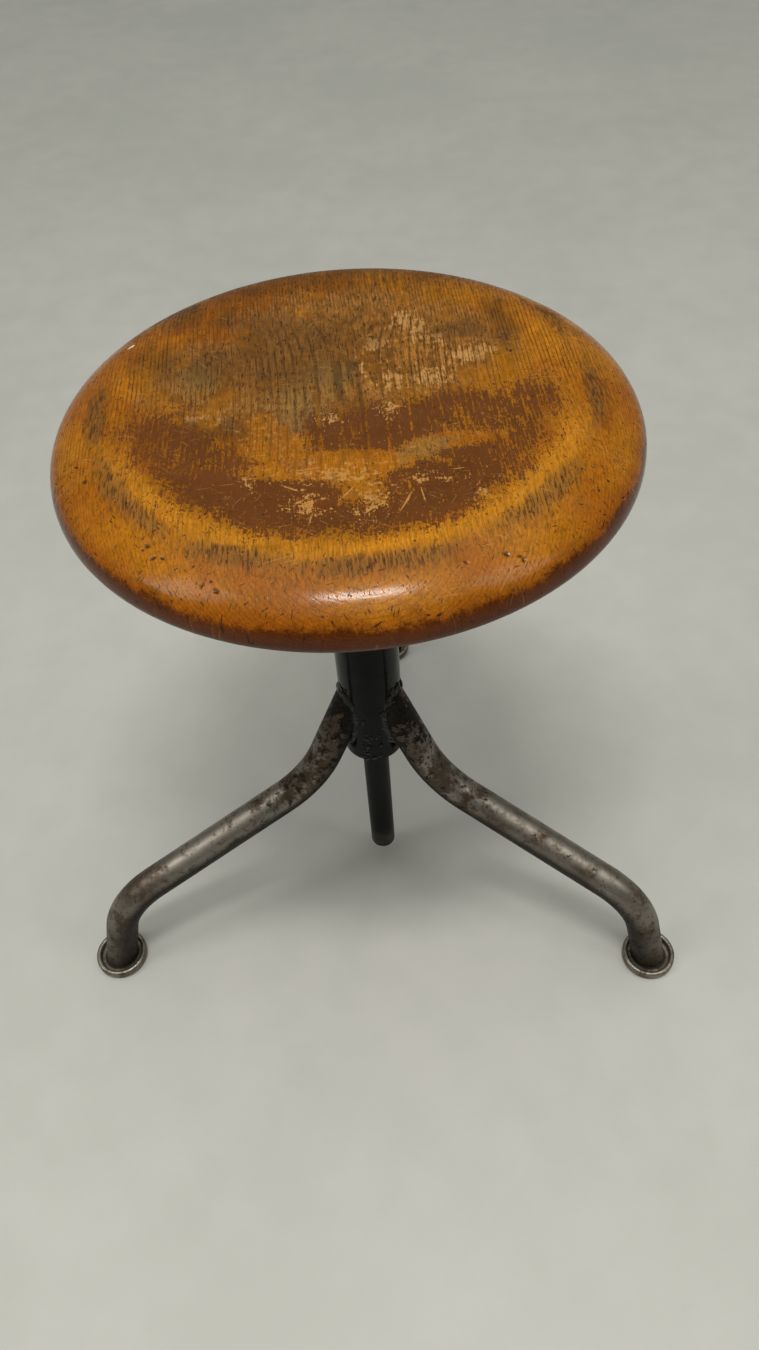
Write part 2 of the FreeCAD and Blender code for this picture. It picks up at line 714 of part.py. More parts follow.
def export(bodies):
    os.makedirs("parts", exist_ok=True)
    for body in bodies:
        if body.Shape.isNull() or not body.Shape.isValid():
            raise RuntimeError(f"{body.Label} has no valid shape")
    for body in bodies:
        body.Shape.exportStep(f"parts/{body.Label}.step")
        box = body.Shape.BoundBox
        print(f"{body.Label:20s} solids {len(body.Shape.Solids)} volume {body.Shape.Volume:10.0f}"
              f"  z {box.ZMin:7.2f} to {box.ZMax:7.2f}")


stool = make_stool()
check_document()
export(stool)
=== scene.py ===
"""A worn workshop stool: its looks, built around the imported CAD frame.

The CAD metal parts stay and get materials. The seat board is replaced by a finer mesh with dents,
pits and a chip. The weld beads at the leg joints and the spatter low on the hub are added. Lengths
are in metres.
"""
import json
import math
import random

import bmesh
import bpy
import numpy as np
from mathutils import Matrix, Quaternion, Vector, noise


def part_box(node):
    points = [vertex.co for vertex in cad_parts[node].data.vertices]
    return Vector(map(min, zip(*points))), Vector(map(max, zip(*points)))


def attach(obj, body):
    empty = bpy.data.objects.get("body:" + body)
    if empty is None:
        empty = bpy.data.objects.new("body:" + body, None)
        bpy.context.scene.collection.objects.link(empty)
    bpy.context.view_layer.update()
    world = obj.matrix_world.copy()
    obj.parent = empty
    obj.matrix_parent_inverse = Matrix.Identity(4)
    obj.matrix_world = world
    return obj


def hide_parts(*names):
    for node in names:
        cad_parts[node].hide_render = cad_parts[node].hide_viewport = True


MM = 0.001
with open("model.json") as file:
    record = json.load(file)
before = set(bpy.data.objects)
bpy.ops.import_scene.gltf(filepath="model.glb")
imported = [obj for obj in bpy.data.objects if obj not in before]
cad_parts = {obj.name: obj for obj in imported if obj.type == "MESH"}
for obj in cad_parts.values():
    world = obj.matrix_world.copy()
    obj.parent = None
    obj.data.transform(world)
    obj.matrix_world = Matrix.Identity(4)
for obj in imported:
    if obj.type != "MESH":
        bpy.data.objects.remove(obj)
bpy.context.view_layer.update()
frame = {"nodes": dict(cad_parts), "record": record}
SEAT_LOW, SEAT_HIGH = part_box("seat_board")
HUB_LOW, HUB_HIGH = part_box("hub_tube")
SEAT_RADIUS = SEAT_HIGH.x
HUB_RADIUS = HUB_HIGH.x
# The seat's grain runs along +Y turned by this angle towards -X.
GRAIN_TURN = 0.0994
# The legs leave the hub along a straight run in an upright plane: start and knee, as radius and
# height, in metres.
LEG_START = (5 * MM, 255 * MM)
LEG_KNEE = (56.2 * MM, 151.8 * MM)
LEG_RADIUS = 13.45 * MM
# Each leg's direction in degrees, turned from +Y towards +X.
LEGS = {"rear": 0.0, "right": 115.5, "left": -115.5}


# ---------------------------------------------------------------- node graphs


def opaque(colour):
    """A colour with its alpha, or a field as it is."""
    return colour if isinstance(colour, Field) else (*colour, 1.0)


class Field:
    """A value that varies over a surface: one output of a shader node."""

    def __init__(self, graph, socket):
        self.graph = graph
        self.socket = socket

    def __add__(self, other):
        return self.graph.math("ADD", self, other)

    def __sub__(self, other):
        return self.graph.math("SUBTRACT", self, other)

    def __rsub__(self, other):
        return self.graph.math("SUBTRACT", other, self)

    def __mul__(self, other):
        return self.graph.math("MULTIPLY", self, other)

    def __truediv__(self, other):
        return self.graph.math("DIVIDE", self, other)

    __radd__ = __add__

    def ramp(self, low, high):
        """0 below low, 1 above high, smooth between. With low above high it falls instead."""
        fall = low > high
        ends = {"From Min": min(low, high), "From Max": max(low, high),
                "To Min": float(fall), "To Max": float(not fall)}
        return self.graph.add("ShaderNodeMapRange", {"Value": self, **ends},
                              interpolation_type="SMOOTHSTEP")

    def near(self, centre, width):
        """1 at centre, falling smoothly to 0 at width away from it."""
        return self.graph.math("ABSOLUTE", self - centre).ramp(width, 0.0)


class Graph:
    """One node material. Its places are in the row frame, because every piece's origin is there."""

    def __init__(self, name):
        self.material = bpy.data.materials.new(name)
        self.material.use_nodes = True
        self.tree = self.material.node_tree
        self.shader = self.tree.nodes["Principled BSDF"]
        self.place = self.add("ShaderNodeTexCoord", {}, output="Object")

    def add(self, kind, inputs, output=0, **settings):
        """A new node with the given inputs and settings, as one of its outputs."""
        node = self.tree.nodes.new(kind)
        for name, setting in settings.items():
            setattr(node, name, setting)
        for name, content in inputs.items():
            self.put(node.inputs[name], content)
        return Field(self, node.outputs[output])

    def put(self, socket, content):
        """Link a field to a socket, or set the socket to a number or colour."""
        if isinstance(content, Field):
            self.tree.links.new(content.socket, socket)
        else:
            socket.default_value = content

    def math(self, operation, first, second=0.0):
        return self.add("ShaderNodeMath", {0: first, 1: second}, operation=operation)

    def most(self, *fields):
        result = fields[0]
        for field in fields[1:]:
            result = self.math("MAXIMUM", result, field)
        return result

    def least(self, *fields):
        result = fields[0]
        for field in fields[1:]:
            result = self.math("MINIMUM", result, field)
        return result

    def parts(self, place):
        """The x, y and z of a place."""
        split = self.add("ShaderNodeSeparateXYZ", {0: place})
        outputs = split.socket.node.outputs
        return [Field(self, outputs[index]) for index in range(3)]

    def turned(self, place, angle):
        return self.add("ShaderNodeMapping", {"Vector": place, "Rotation": (0, 0, angle)})

    def stretched(self, place, x, y, z):
        """The place measured in units of x, y and z along the three axes."""
        return self.add("ShaderNodeVectorMath", {0: place, 1: (1 / x, 1 / y, 1 / z)},
                        operation="MULTIPLY")

    def noise(self, place, size=1.0, detail=2.0, roughness=0.5):
        """Cloudy noise about 0.5 with features of the given size."""
        return self.add("ShaderNodeTexNoise", {
            "Vector": place, "Scale": 1 / size, "Detail": detail, "Roughness": roughness})

    def grit(self, place, size=1.0, detail=3.0, roughness=0.5):
        """Noise about 0 that mostly stays within -1 and 1."""
        return (self.noise(place, size, detail, roughness) - 0.5) * 5.0

    def cells(self, place, size):
        """The distance to the nearest of many scattered points, in units of size."""
        return self.add("ShaderNodeTexVoronoi", {"Vector": place, "Scale": 1 / size},
                        output="Distance")

    def blots(self, place, blots):
        """1 at the middle of each flat ellipse (x, y, half width, half length) in mm, 0 at its rim
        and less outside."""
        found = []
        for x, y, across, along in blots:
            scale = (1 / (across * MM), 1 / (along * MM), 0)
            shift = (-x / across, -y / along, 0)
            offset = self.add("ShaderNodeVectorMath", {0: place, 1: scale, 2: shift},
                              operation="MULTIPLY_ADD")
            found.append(self.add("ShaderNodeVectorMath", {0: offset}, output="Value",
                                  operation="LENGTH"))
        return 1.0 - self.least(*found)

    def mix(self, share, under, over):
        """The colour under, covered by the colour over as far as share says."""
        return self.add("ShaderNodeMix", {0: share, 6: opaque(under), 7: opaque(over)},
                        output=2, data_type="RGBA")

    def shade(self, colour, factor):
        """The colour made darker or brighter by a factor."""
        grey = self.add("ShaderNodeCombineColor", {0: factor, 1: factor, 2: factor})
        return self.add("ShaderNodeMix", {0: 1.0, 6: opaque(colour), 7: grey}, output=2,
                        data_type="RGBA", blend_type="MULTIPLY")

    def blend(self, share, under, over):
        """The number under, replaced by the number over as far as share says."""
        return self.add("ShaderNodeMix", {0: share, 2: under, 3: over}, data_type="FLOAT")

    def bump(self, height, depth):
        """A normal from heights of 0 to 1 that stand for 0 to depth metres."""
        return self.add("ShaderNodeBump", {"Height": height, "Distance": depth})

    def finish(self, **inputs):
        """Set the shader's sockets. Their names are written with _ for a space."""
        for name, content in inputs.items():
            self.put(self.shader.inputs[name.replace("_", " ")], content)
        return self.material


# ---------------------------------------------------------------- materials

AMBER = (0.440, 0.155, 0.006)
BRIGHT_AMBER = (0.560, 0.215, 0.012)
ORANGE = (0.290, 0.074, 0.003)
THICK_LACQUER_AND_SHADE = (0.095, 0.017, 0.0004)
RED_BROWN = (0.118, 0.035, 0.0065)
BROWN_FILM = (0.120, 0.044, 0.004)
DIRTY_BROWN = (0.100, 0.041, 0.007)
WORN_TAN = (0.310, 0.130, 0.024)
BARE_WOOD = (0.530, 0.272, 0.084)
GREY_GREEN = (0.240, 0.142, 0.040)
CREST_GREY = (0.100, 0.060, 0.017)
PORE = (0.028, 0.010, 0.001)
CHIP_WOOD = (0.72, 0.60, 0.45)
HUB_BLACK = (0.0016, 0.0016, 0.0018)
HUB_DUST = (0.014, 0.012, 0.009)
WELD_BLACK = (0.0022, 0.0020, 0.0018)
WELD_RUST = (0.030, 0.013, 0.007)
WELD_FLECK_AND_GLINT = (0.42, 0.40, 0.34)
LEG_STEEL = (0.345, 0.308, 0.258)
LEG_DULL = (0.165, 0.126, 0.094)
LEG_PATINA = (0.062, 0.040, 0.023)
LEG_ANKLE = (0.080, 0.062, 0.046)
LEG_RUBBED = (0.340, 0.310, 0.260)
LEG_RUST = (0.018, 0.011, 0.006)
LEG_PAINT_AND_SHADE_BLACK = (0.0055, 0.0042, 0.0034)
CUP_STEEL = (0.230, 0.200, 0.160)
CUP_DULL = (0.100, 0.075, 0.054)
CUP_POLISHED_AND_HIGHLIGHT = (0.38, 0.34, 0.285)
CUP_GAP_SHADE = (0.010, 0.008, 0.006)
CUP_GRIME = (0.030, 0.023, 0.016)
SPINDLE_BLACK = (0.0026, 0.0026, 0.0020)
SPINDLE_WORN = (0.060, 0.057, 0.046)
SPINDLE_TIP = (0.120, 0.112, 0.080)
IRON = (0.09, 0.085, 0.08)
IRON_DARK = (0.04, 0.035, 0.03)
FASTENER = (0.34, 0.32, 0.29)
FASTENER_DARK = (0.16, 0.12, 0.09)
LEATHER_DARK = (0.060, 0.032, 0.018)
LEATHER_LIGHT = (0.125, 0.075, 0.042)
FLOOR_GREY = (0.570, 0.562, 0.512)
FLOOR_PALE = (0.628, 0.612, 0.562)
LAMP_WHITE = (1.0, 0.99, 0.96)
SKY_WHITE = (0.97, 1.0, 0.95)

# Places on the seat in mm, seen from above with the grain along the second number:
# x, y, half width, half length.
PAINT = [(-98, -30, 30, 30), (-72, -62, 42, 34), (-36, -90, 38, 30), (6, -104, 40, 20),
         (44, -90, 38, 30), (84, -56, 36, 42), (104, -30, 22, 30), (16, -26, 50, 22),
         (62, -16, 34, 18)]
PAINT_LOST = [(-14, -58, 42, 11), (-42, -30, 18, 22), (58, -45, 26, 7), (-76, -6, 18, 10)]
STREAKY_PAINT = [(-80, -34, 36, 32), (100, -50, 28, 48), (66, -24, 26, 22), (10, -86, 26, 14)]
DIRT = [(-22, 34, 90, 58), (40, 50, 66, 52), (-70, 40, 56, 42), (0, 76, 76, 34)]
DARK_SPOTS = [(-113, 50, 13, 16), (-78, 46, 16, 15), (-55, 128, 7, 6), (-70, 95, 10, 8),
              (-52, 66, 12, 26), (-100, 104, 13, 16), (103, 60, 7, 24), (-64, -18, 9, 14),
              (74, 66, 16, 7), (-36, 50, 30, 26), (-20, 70, 34, 20), (-86, -24, 20, 16)]
PALE_PATCHES = [(54, 20, 11, 10), (82, 38, 14, 8), (40, 82, 8, 9), (50, 70, 7, 9), (61, 58, 6, 9),
                (30, 24, 8, 12), (38, -6, 7, 12), (12, 40, 7, 12), (-86, -6, 14, 4),
                (46, 2, 12, 10), (22, 60, 8, 10)]
GREY_BLOTS = [(-25, 2, 17, 22), (-8, 30, 12, 12), (42, -52, 12, 11), (-84, 36, 12, 14)]
CHIPPED = [(10, -92, 10, 18), (-6, -68, 20, 9), (-24, -94, 9, 14), (52, -80, 9, 4),
           (34, -76, 7, 5), (-9, -14, 8, 6), (68, -100, 6, 9), (-56, -68, 4, 6), (24, -10, 6, 9)]
ORANGE_PATCHES = [(-62, 118, 34, 34), (-78, 84, 26, 30), (-8, 132, 24, 16), (-44, 40, 12, 14)]
# Pits and dents gather on the rim, most of them in front: azimuth in degrees from +X in the grain's
# frame, radius and spread in mm, and how many.
PIT_CLUSTERS = [(-135, 160, 12, 4), (-115, 165, 10, 3), (-65, 160, 14, 4), (-35, 160, 14, 3),
                (-160, 155, 8, 2), (30, 115, 14, 2)]


def scatter_pits():
    """The pits of every cluster: x, y, half width, half length, turn in radians and depth in mm."""
    draw = random.Random("pits")
    outermost = 168
    pits = []
    for azimuth, radius, spread, count in PIT_CLUSTERS:
        for _ in range(count):
            angle = math.radians(azimuth) + draw.gauss(0, spread) / radius
            out = min(radius + draw.gauss(0, spread / 3), outermost)
            length = draw.uniform(1.1, 2.6)
            pits.append((out * math.cos(angle), out * math.sin(angle),
                         length * draw.uniform(0.35, 0.9), length, draw.uniform(0, math.pi),
                         draw.uniform(0.4, 0.8)))
    return pits


PITS = scatter_pits()
# A chip on the rim at ten o'clock, in the same terms as a pit.
CHIP_ANGLE, CHIP_RADIUS = math.radians(150), 150
CHIP = (CHIP_RADIUS * math.cos(CHIP_ANGLE), CHIP_RADIUS * math.sin(CHIP_ANGLE), 3.4, 1.6, 0.6, 1.0)
# Parts of the dish's crest that have gone grey: x, y, half width, half length, in mm.
CREST_MARKS = [(-120, -75, 32, 50), (-64, -132, 34, 16), (14, -146, 48, 14), (100, -104, 38, 32),
               (-142, 2, 12, 30), (144, -20, 12, 36), (132, 60, 12, 24)]
# Long scratches through the paint: x, y and spread in mm, the way they run and how many.
SCRAPE_CLUSTERS = [(15, -90, 12, -0.4, 6), (-35, -60, 14, -1.4, 2), (60, -65, 8, -1.4, 1)]


def scatter_scrapes():
    """The scratches of every cluster, in the same terms as the pits but without depth."""
    draw = random.Random("scrapes")
    scrapes = []
    for x, y, spread, run, count in SCRAPE_CLUSTERS:
        for _ in range(count):
            scrapes.append((draw.gauss(x, spread), draw.gauss(y, spread), draw.uniform(0.5, 0.7),
                            draw.uniform(4, 10), draw.gauss(run, 0.4), 0))
    return scrapes


SCRAPES = scatter_scrapes()


def grain_lines(graph, place):
    """1 on the dark lines of the growth rings, 0 between them."""
    x, _, z = graph.parts(place)
    drift = graph.noise(graph.stretched(place, 0.060, 0.40, 0.060), detail=1.0) * 0.010
    ripple = graph.noise(graph.stretched(place, 0.006, 0.045, 0.006)) * 0.0022
    sawn = x + z * 0.25 + drift + ripple
    flat = graph.math("PINGPONG", sawn / 0.0023, 0.5) * 2.0
    # Where the front rolls off, the saw has cut nested arcs.
    across = x - 0.004
    up = z - SEAT_HIGH.z - 0.072
    arcs = graph.math("SQRT", across * across + up * up) + ripple * 0.5
    rolled = graph.math("PINGPONG", arcs / 0.0021, 0.5) * 2.0
    share = z.ramp(SEAT_HIGH.z - 0.0015, SEAT_HIGH.z - 0.006)
    return graph.blend(share, flat.ramp(0.50, 0.10), rolled.ramp(0.40, 0.08))


def scratches(graph, place, angle, length):
    """Thin straight scratches along one direction."""
    along = graph.turned(place, angle)
    marks = graph.grit(graph.stretched(along, 0.00075, length, 1.0), detail=1.0)
    return marks.ramp(1.02, 1.35)


def pit_field(graph, place, pits):
    """1 in the middle of each pit, 0 at its rim."""
    found = []
    for x, y, across, along, turn, _ in pits:
        scale = graph.add("ShaderNodeMapping", {
            "Vector": place, "Location": (x * MM, y * MM, 0), "Rotation": (0, 0, turn),
            "Scale": (across * MM, along * MM, 1.0)}, vector_type="TEXTURE")
        flat = graph.add("ShaderNodeVectorMath", {0: scale, 1: (1, 1, 0)}, operation="MULTIPLY")
        found.append(graph.add("ShaderNodeVectorMath", {0: flat}, output="Value",
                               operation="LENGTH"))
    return 1.0 - graph.least(*found)


class SeatGraph(Graph):
    """The seat's material, with the places, lines and noises that its layers share."""

    def __init__(self):
        super().__init__("worn_seat")
        place = self.turned(self.place, -GRAIN_TURN)
        self.grain_place = place
        x, self.y, self.z = self.parts(place)
        self.radius = self.math("SQRT", x * x + self.y * self.y)
        self.lines = grain_lines(self, place)
        self.fibre = self.grit(self.stretched(place, 0.0010, 0.011, 0.0010), roughness=0.65)
        self.streak = self.grit(self.stretched(place, 0.0030, 0.040, 0.0030))
        self.speckle = self.grit(place, 0.0050, detail=4.0, roughness=0.75)
        self.cloud = self.grit(place, 0.024, detail=5.0, roughness=0.6)
        self.broad = self.grit(place, 0.080, detail=2.0)
        self.combed = self.fibre * 0.8 + self.streak * 0.45 - self.lines * 1.0 + 0.30
        self.crumbs = self.grit(place, 0.0024, roughness=0.7)
        self.worn_rim = self.radius.ramp(0.128, 0.112)

    def patch(self, blots, wobble, soft):
        """1 inside the blots and 0 outside, with an edge that wobble makes ragged."""
        return (self.blots(self.grain_place, blots) + wobble).ramp(-soft, soft)


def lacquer_layer(graph):
    """Amber lacquer, orange in places, brown behind, and darker and redder low on the rim: partly
    thick lacquer, partly painted shade where the rim turns downwards.
    """
    y, z, cloud, streak = graph.y, graph.z, graph.cloud, graph.streak
    fibre, speckle = graph.fibre, graph.speckle
    lacquer = graph.mix((graph.broad + cloud * 0.6).ramp(-0.3, 0.9) * 0.7, AMBER, ORANGE)
    front = y.ramp(-0.01, -0.07)
    band = graph.least((graph.radius + speckle * 0.003).near(0.1340, 0.014), front)
    lacquer = graph.mix(band * 0.9, lacquer, BRIGHT_AMBER)
    lacquer = graph.mix(graph.patch(ORANGE_PATCHES, cloud * 0.6, 0.4) * 0.8, lacquer, ORANGE)
    film = (y + cloud * 0.024 + streak * 0.020).ramp(0.060, 0.160)
    lacquer = graph.mix(film * 0.86, lacquer, BROWN_FILM)
    # Down the rim the colour goes darker and redder: partly thicker lacquer, partly painted shade
    # on the downward-facing rim.
    soft = (z + cloud * 0.0020 + streak * 0.0010).ramp(SEAT_HIGH.z - 0.008, SEAT_HIGH.z - 0.018)
    lacquer = graph.mix(soft * 0.80, lacquer, ORANGE)
    low = (z + speckle * 0.0018 + cloud * 0.0022 + fibre * 0.0008
           ).ramp(SEAT_HIGH.z - 0.0155, SEAT_HIGH.z - 0.0200)
    lacquer = graph.mix(low * 0.92, lacquer, THICK_LACQUER_AND_SHADE)
    mottle = 1.0 + cloud * 0.20 + fibre * 0.26 + speckle * 0.18
    colour = graph.shade(lacquer, mottle)
    line_strength = graph.blend(y.ramp(-0.08, 0.03), 0.26, 0.58) * (streak * 0.6 + 1.0)
    line_strength = line_strength + low * 0.30
    colour = graph.mix(graph.lines * line_strength, colour, DIRTY_BROWN)
    return colour, film, mottle


def bare_layer(graph, colour):
    """Worn through to dirty wood in the middle, with pale, grey and dark patches."""
    cloud, streak, combed = graph.cloud, graph.streak, graph.combed
    fibre, speckle = graph.fibre, graph.speckle
    dirty = graph.least(graph.patch(DIRT, combed * 0.35 + cloud * 0.6, 0.40), graph.worn_rim)
    grime = graph.mix((streak * 0.7 + cloud * 0.8 + speckle * 0.9 + fibre * 0.5).ramp(-1.1, 1.0),
                      DIRTY_BROWN, WORN_TAN)
    colour = graph.mix(dirty * 0.78, colour, graph.shade(grime, 1.0 + fibre * 0.45))
    pale = graph.patch(PALE_PATCHES, combed * 0.80 + speckle * 1.1 + cloud * 0.8 - 0.62, 0.50)
    colour = graph.mix(pale * 0.72, colour, graph.shade(BARE_WOOD, 1.0 + fibre * 0.30))
    grey = graph.patch(GREY_BLOTS, cloud * 0.9 + combed * 0.5 + speckle * 0.7 - 0.10, 0.45)
    colour = graph.mix(grey * 0.58, colour, graph.shade(GREY_GREEN, 1.0 + fibre * 0.3))
    dark = graph.patch(DARK_SPOTS, combed * 0.45 + cloud * 0.6, 0.6)
    colour = graph.mix(dark * 0.60, colour, DIRTY_BROWN)
    comb_lines = graph.lines * (streak * 0.8 + cloud * 0.6).ramp(-0.8, 0.6)
    colour = graph.mix(comb_lines * graph.most(dirty, dark) * 0.60, colour, PORE)
    return colour, dirty


def paint_layer(graph, colour):
    """What is left of a red-brown paint coat in the front half."""
    y, cloud, fibre, speckle = graph.y, graph.cloud, graph.fibre, graph.speckle
    place, crumbs, worn_rim = graph.grain_place, graph.crumbs, graph.worn_rim
    ragged = speckle * 0.65 + crumbs * 0.65 + fibre * 0.5 + cloud * 0.3
    edge = (0.1235 - graph.radius + cloud * 0.003) / 0.016
    coat = graph.least(graph.blots(place, PAINT) * 2.2, edge, 0.72)
    coat = coat - graph.blots(place, PAINT_LOST).ramp(-0.50, 0.40) * 1.25
    thin = graph.blots(place, STREAKY_PAINT).ramp(-0.3, 0.5)
    coat = coat - thin * 0.42
    comb = graph.blend(graph.most(thin, y.ramp(-0.07, -0.02)), 0.30, 0.75)
    coat = coat + graph.combed * comb + ragged * 0.80
    # Specks of paint that are left outside the coat, among specks of bare wood.
    left = (coat * 0.45 + crumbs * 0.55 + fibre * 0.50 + cloud * 0.20).ramp(0.12, 0.32)
    left = graph.least(left, worn_rim)
    bare = (crumbs * 0.5 + speckle * 0.7 + fibre * 0.35 - graph.lines * 0.2).ramp(0.20, 0.60)
    bare = graph.least(bare, worn_rim, y.ramp(0.02, -0.03))
    colour = graph.mix(bare * 0.62, colour, BARE_WOOD)
    coat = graph.most(coat.ramp(-0.10, 0.12), left * 0.8)
    nicks = (crumbs * 0.8 + fibre * 0.7 + speckle * 0.3).ramp(0.95, 1.15)
    coat = graph.least(coat, 1.0 - nicks * 0.9)
    chipped = graph.patch(CHIPPED, speckle * 1.5 + crumbs * 0.7 + fibre * 0.6 - 0.66, 0.16)
    scraped = (pit_field(graph, place, SCRAPES) + crumbs * 0.5).ramp(0.0, 0.3)
    chipped = graph.most(chipped, scraped)
    coat = graph.least(coat, 1.0 - chipped)
    colour = graph.mix(graph.least(chipped, worn_rim) * 0.60, colour, BARE_WOOD)
    paint = graph.shade(RED_BROWN, 1.0 + cloud * 0.16 + graph.broad * 0.10 + fibre * 0.08)
    return graph.mix(coat * 0.95, colour, paint), coat


def crest_layer(graph, colour):
    """Grey streaks round the dish's crest, further out behind."""
    cloud, radius = graph.cloud, graph.radius
    crest_radius = graph.y.ramp(0.02, 0.13) * 0.014 + 0.1440
    crest = (graph.math("ABSOLUTE", radius - crest_radius) + cloud * 0.0035).ramp(0.0100, 0.001)
    marks = graph.blots(graph.grain_place, CREST_MARKS).ramp(-0.35, 0.60)
    crest = (crest * 1.2 + marks * 1.0 - 1.55 + graph.combed * 0.70 + graph.speckle * 0.25
             + cloud * 0.50).ramp(-0.25, 0.60)
    crest = graph.least(crest, (radius - 0.118).ramp(0.0, 0.008))
    colour = graph.mix(crest * 0.50, colour, CREST_GREY)
    ring = (graph.math("ABSOLUTE", radius - crest_radius) + cloud * 0.0030).ramp(0.0130, 0.003)
    ticks = graph.grit(graph.stretched(graph.grain_place, 0.0014, 0.0075, 0.004), roughness=0.6)
    ticks = (ticks - graph.lines * 0.5 + cloud * 0.25 + marks * 0.35).ramp(0.15, 0.75)
    strength = marks * 0.30 + 0.34
    return graph.mix(graph.least(ring, ticks) * strength, colour, PORE), crest


def scuff_field(graph):
    """Fine scratches in several directions, in some areas only."""
    place = graph.grain_place
    scuffs = graph.most(scratches(graph, place, 0.55, 0.018), scratches(graph, place, 1.40, 0.024),
                        scratches(graph, place, -0.80, 0.020), scratches(graph, place, -1.2, 0.014))
    return graph.least(scuffs, graph.grit(place, 0.045, detail=2.0).ramp(-0.1, 0.3))


def speck_field(graph):
    """Small round specks, in some areas only."""
    specks = graph.cells(graph.grain_place, 0.0065).ramp(0.17, 0.08)
    gate = graph.noise(graph.grain_place, 0.020, detail=1.0).ramp(0.48, 0.58)
    return graph.least(specks, gate)


def dark_dashes(graph, colour):
    """Short dark strokes towards the rim, and the pits and the chip."""
    place, speckle = graph.grain_place, graph.speckle
    dashes = graph.most(*[
        graph.grit(graph.stretched(graph.turned(place, angle), 0.0011, 0.0065, 0.05), detail=1.0)
        .ramp(0.98, 1.28) for angle in (0.5, 1.3, -0.6)])
    dashes = graph.least(dashes, (graph.radius - 0.100).ramp(0.0, 0.03))
    colour = graph.mix(dashes * 0.85, colour, PORE)
    pits = (pit_field(graph, place, PITS) + speckle * 0.2).ramp(0.0, 0.6)
    colour = graph.mix(pits * 0.85, colour, PORE)
    chip = (pit_field(graph, place, [CHIP]) + speckle * 0.2).ramp(0.05, 0.25)
    return graph.mix(chip, colour, CHIP_WOOD)


def worn_seat():
    graph = SeatGraph()
    z, fibre, cloud, speckle = graph.z, graph.fibre, graph.cloud, graph.speckle
    colour, film, mottle = lacquer_layer(graph)
    colour, dirty = bare_layer(graph, colour)
    colour, coat = paint_layer(graph, colour)
    colour, crest = crest_layer(graph, colour)
    pores = graph.grit(graph.stretched(graph.grain_place, 0.0011, 0.0080, 0.0011), detail=1.0)
    open_pores = pores.ramp(0.55, 1.0)
    pore_strength = graph.blend(graph.most(dirty, crest, film), 0.40, 0.75) * (1.0 - coat * 0.8)
    colour = graph.mix(open_pores * pore_strength, colour, PORE)
    specks = speck_field(graph)
    colour = graph.mix(specks * 0.75, colour, PORE)
    scuffs = scuff_field(graph)
    colour = graph.mix(scuffs * 0.40, colour, BARE_WOOD)
    colour = dark_dashes(graph, colour)
    # The underside is stained and dull.
    under = z.ramp(SEAT_LOW.z + 0.006, SEAT_LOW.z + 0.001)
    colour = graph.mix(under * 0.85, colour, graph.shade(THICK_LACQUER_AND_SHADE, mottle))

    roughness = 0.16 + graph.most(dirty * 0.32, coat * 0.20, film * 0.24) + cloud * 0.03
    dull = graph.most(open_pores * 0.6, specks, under, crest)
    roughness = graph.blend(dull, roughness, 0.62)
    rolled = z.ramp(SEAT_HIGH.z - 0.001, SEAT_HIGH.z - 0.004)
    relief = ((fibre * 0.10 - graph.lines * 0.30) * (1.0 - rolled * 0.8) + speckle * 0.03
              + coat * 0.4 - open_pores * pore_strength * 0.6 - specks * 0.8 - scuffs * 0.2)
    return graph.finish(Base_Color=colour, Roughness=roughness, Normal=graph.bump(relief, 0.00015),
                        Specular_IOR_Level=0.22)


def hub_distance(graph):
    """Distance from the hub's axis."""
    x, y, _ = graph.parts(graph.place)
    return graph.math("SQRT", x * x + y * y)


def black_paint():
    graph = Graph("black_paint")
    cloud = graph.grit(graph.place, 0.018)
    peel = graph.grit(graph.place, 0.0022, detail=2.0)
    dust = (graph.grit(graph.place, 0.006, detail=5.0, roughness=0.7) + cloud * 0.3
            ).ramp(0.85, 1.5)
    colour = graph.mix(dust * 0.4, HUB_BLACK, HUB_DUST)
    roughness = 0.15 + cloud * 0.02 + dust * 0.2
    return graph.finish(Base_Color=colour, Roughness=roughness, Specular_IOR_Level=0.09,
                        Normal=graph.bump(peel * 0.06 + cloud * 0.25, 0.0004))


def painted_weld():
    graph = Graph("painted_weld")
    cloud = graph.grit(graph.place, 0.007)
    fine = graph.grit(graph.place, 0.0012)
    rust = (cloud + fine * 0.4).ramp(0.55, 1.1)
    colour = graph.mix(rust * 0.7, WELD_BLACK, WELD_RUST)
    # Pale flecks: chips of bare metal, and painted glints for the sparkle of the lumpy, wet-looking
    # paint.
    chips_and_glints = (graph.grit(graph.place, 0.0024, detail=4.0, roughness=0.7) + cloud * 0.4
              ).ramp(1.05, 1.30)
    colour = graph.mix(chips_and_glints * 0.8, colour, WELD_FLECK_AND_GLINT)
    return graph.finish(Base_Color=colour, Roughness=0.10 + rust * 0.35 + fine * 0.03,
                        Specular_IOR_Level=0.30, Normal=graph.bump(fine * 0.5 + cloud, 0.0004))


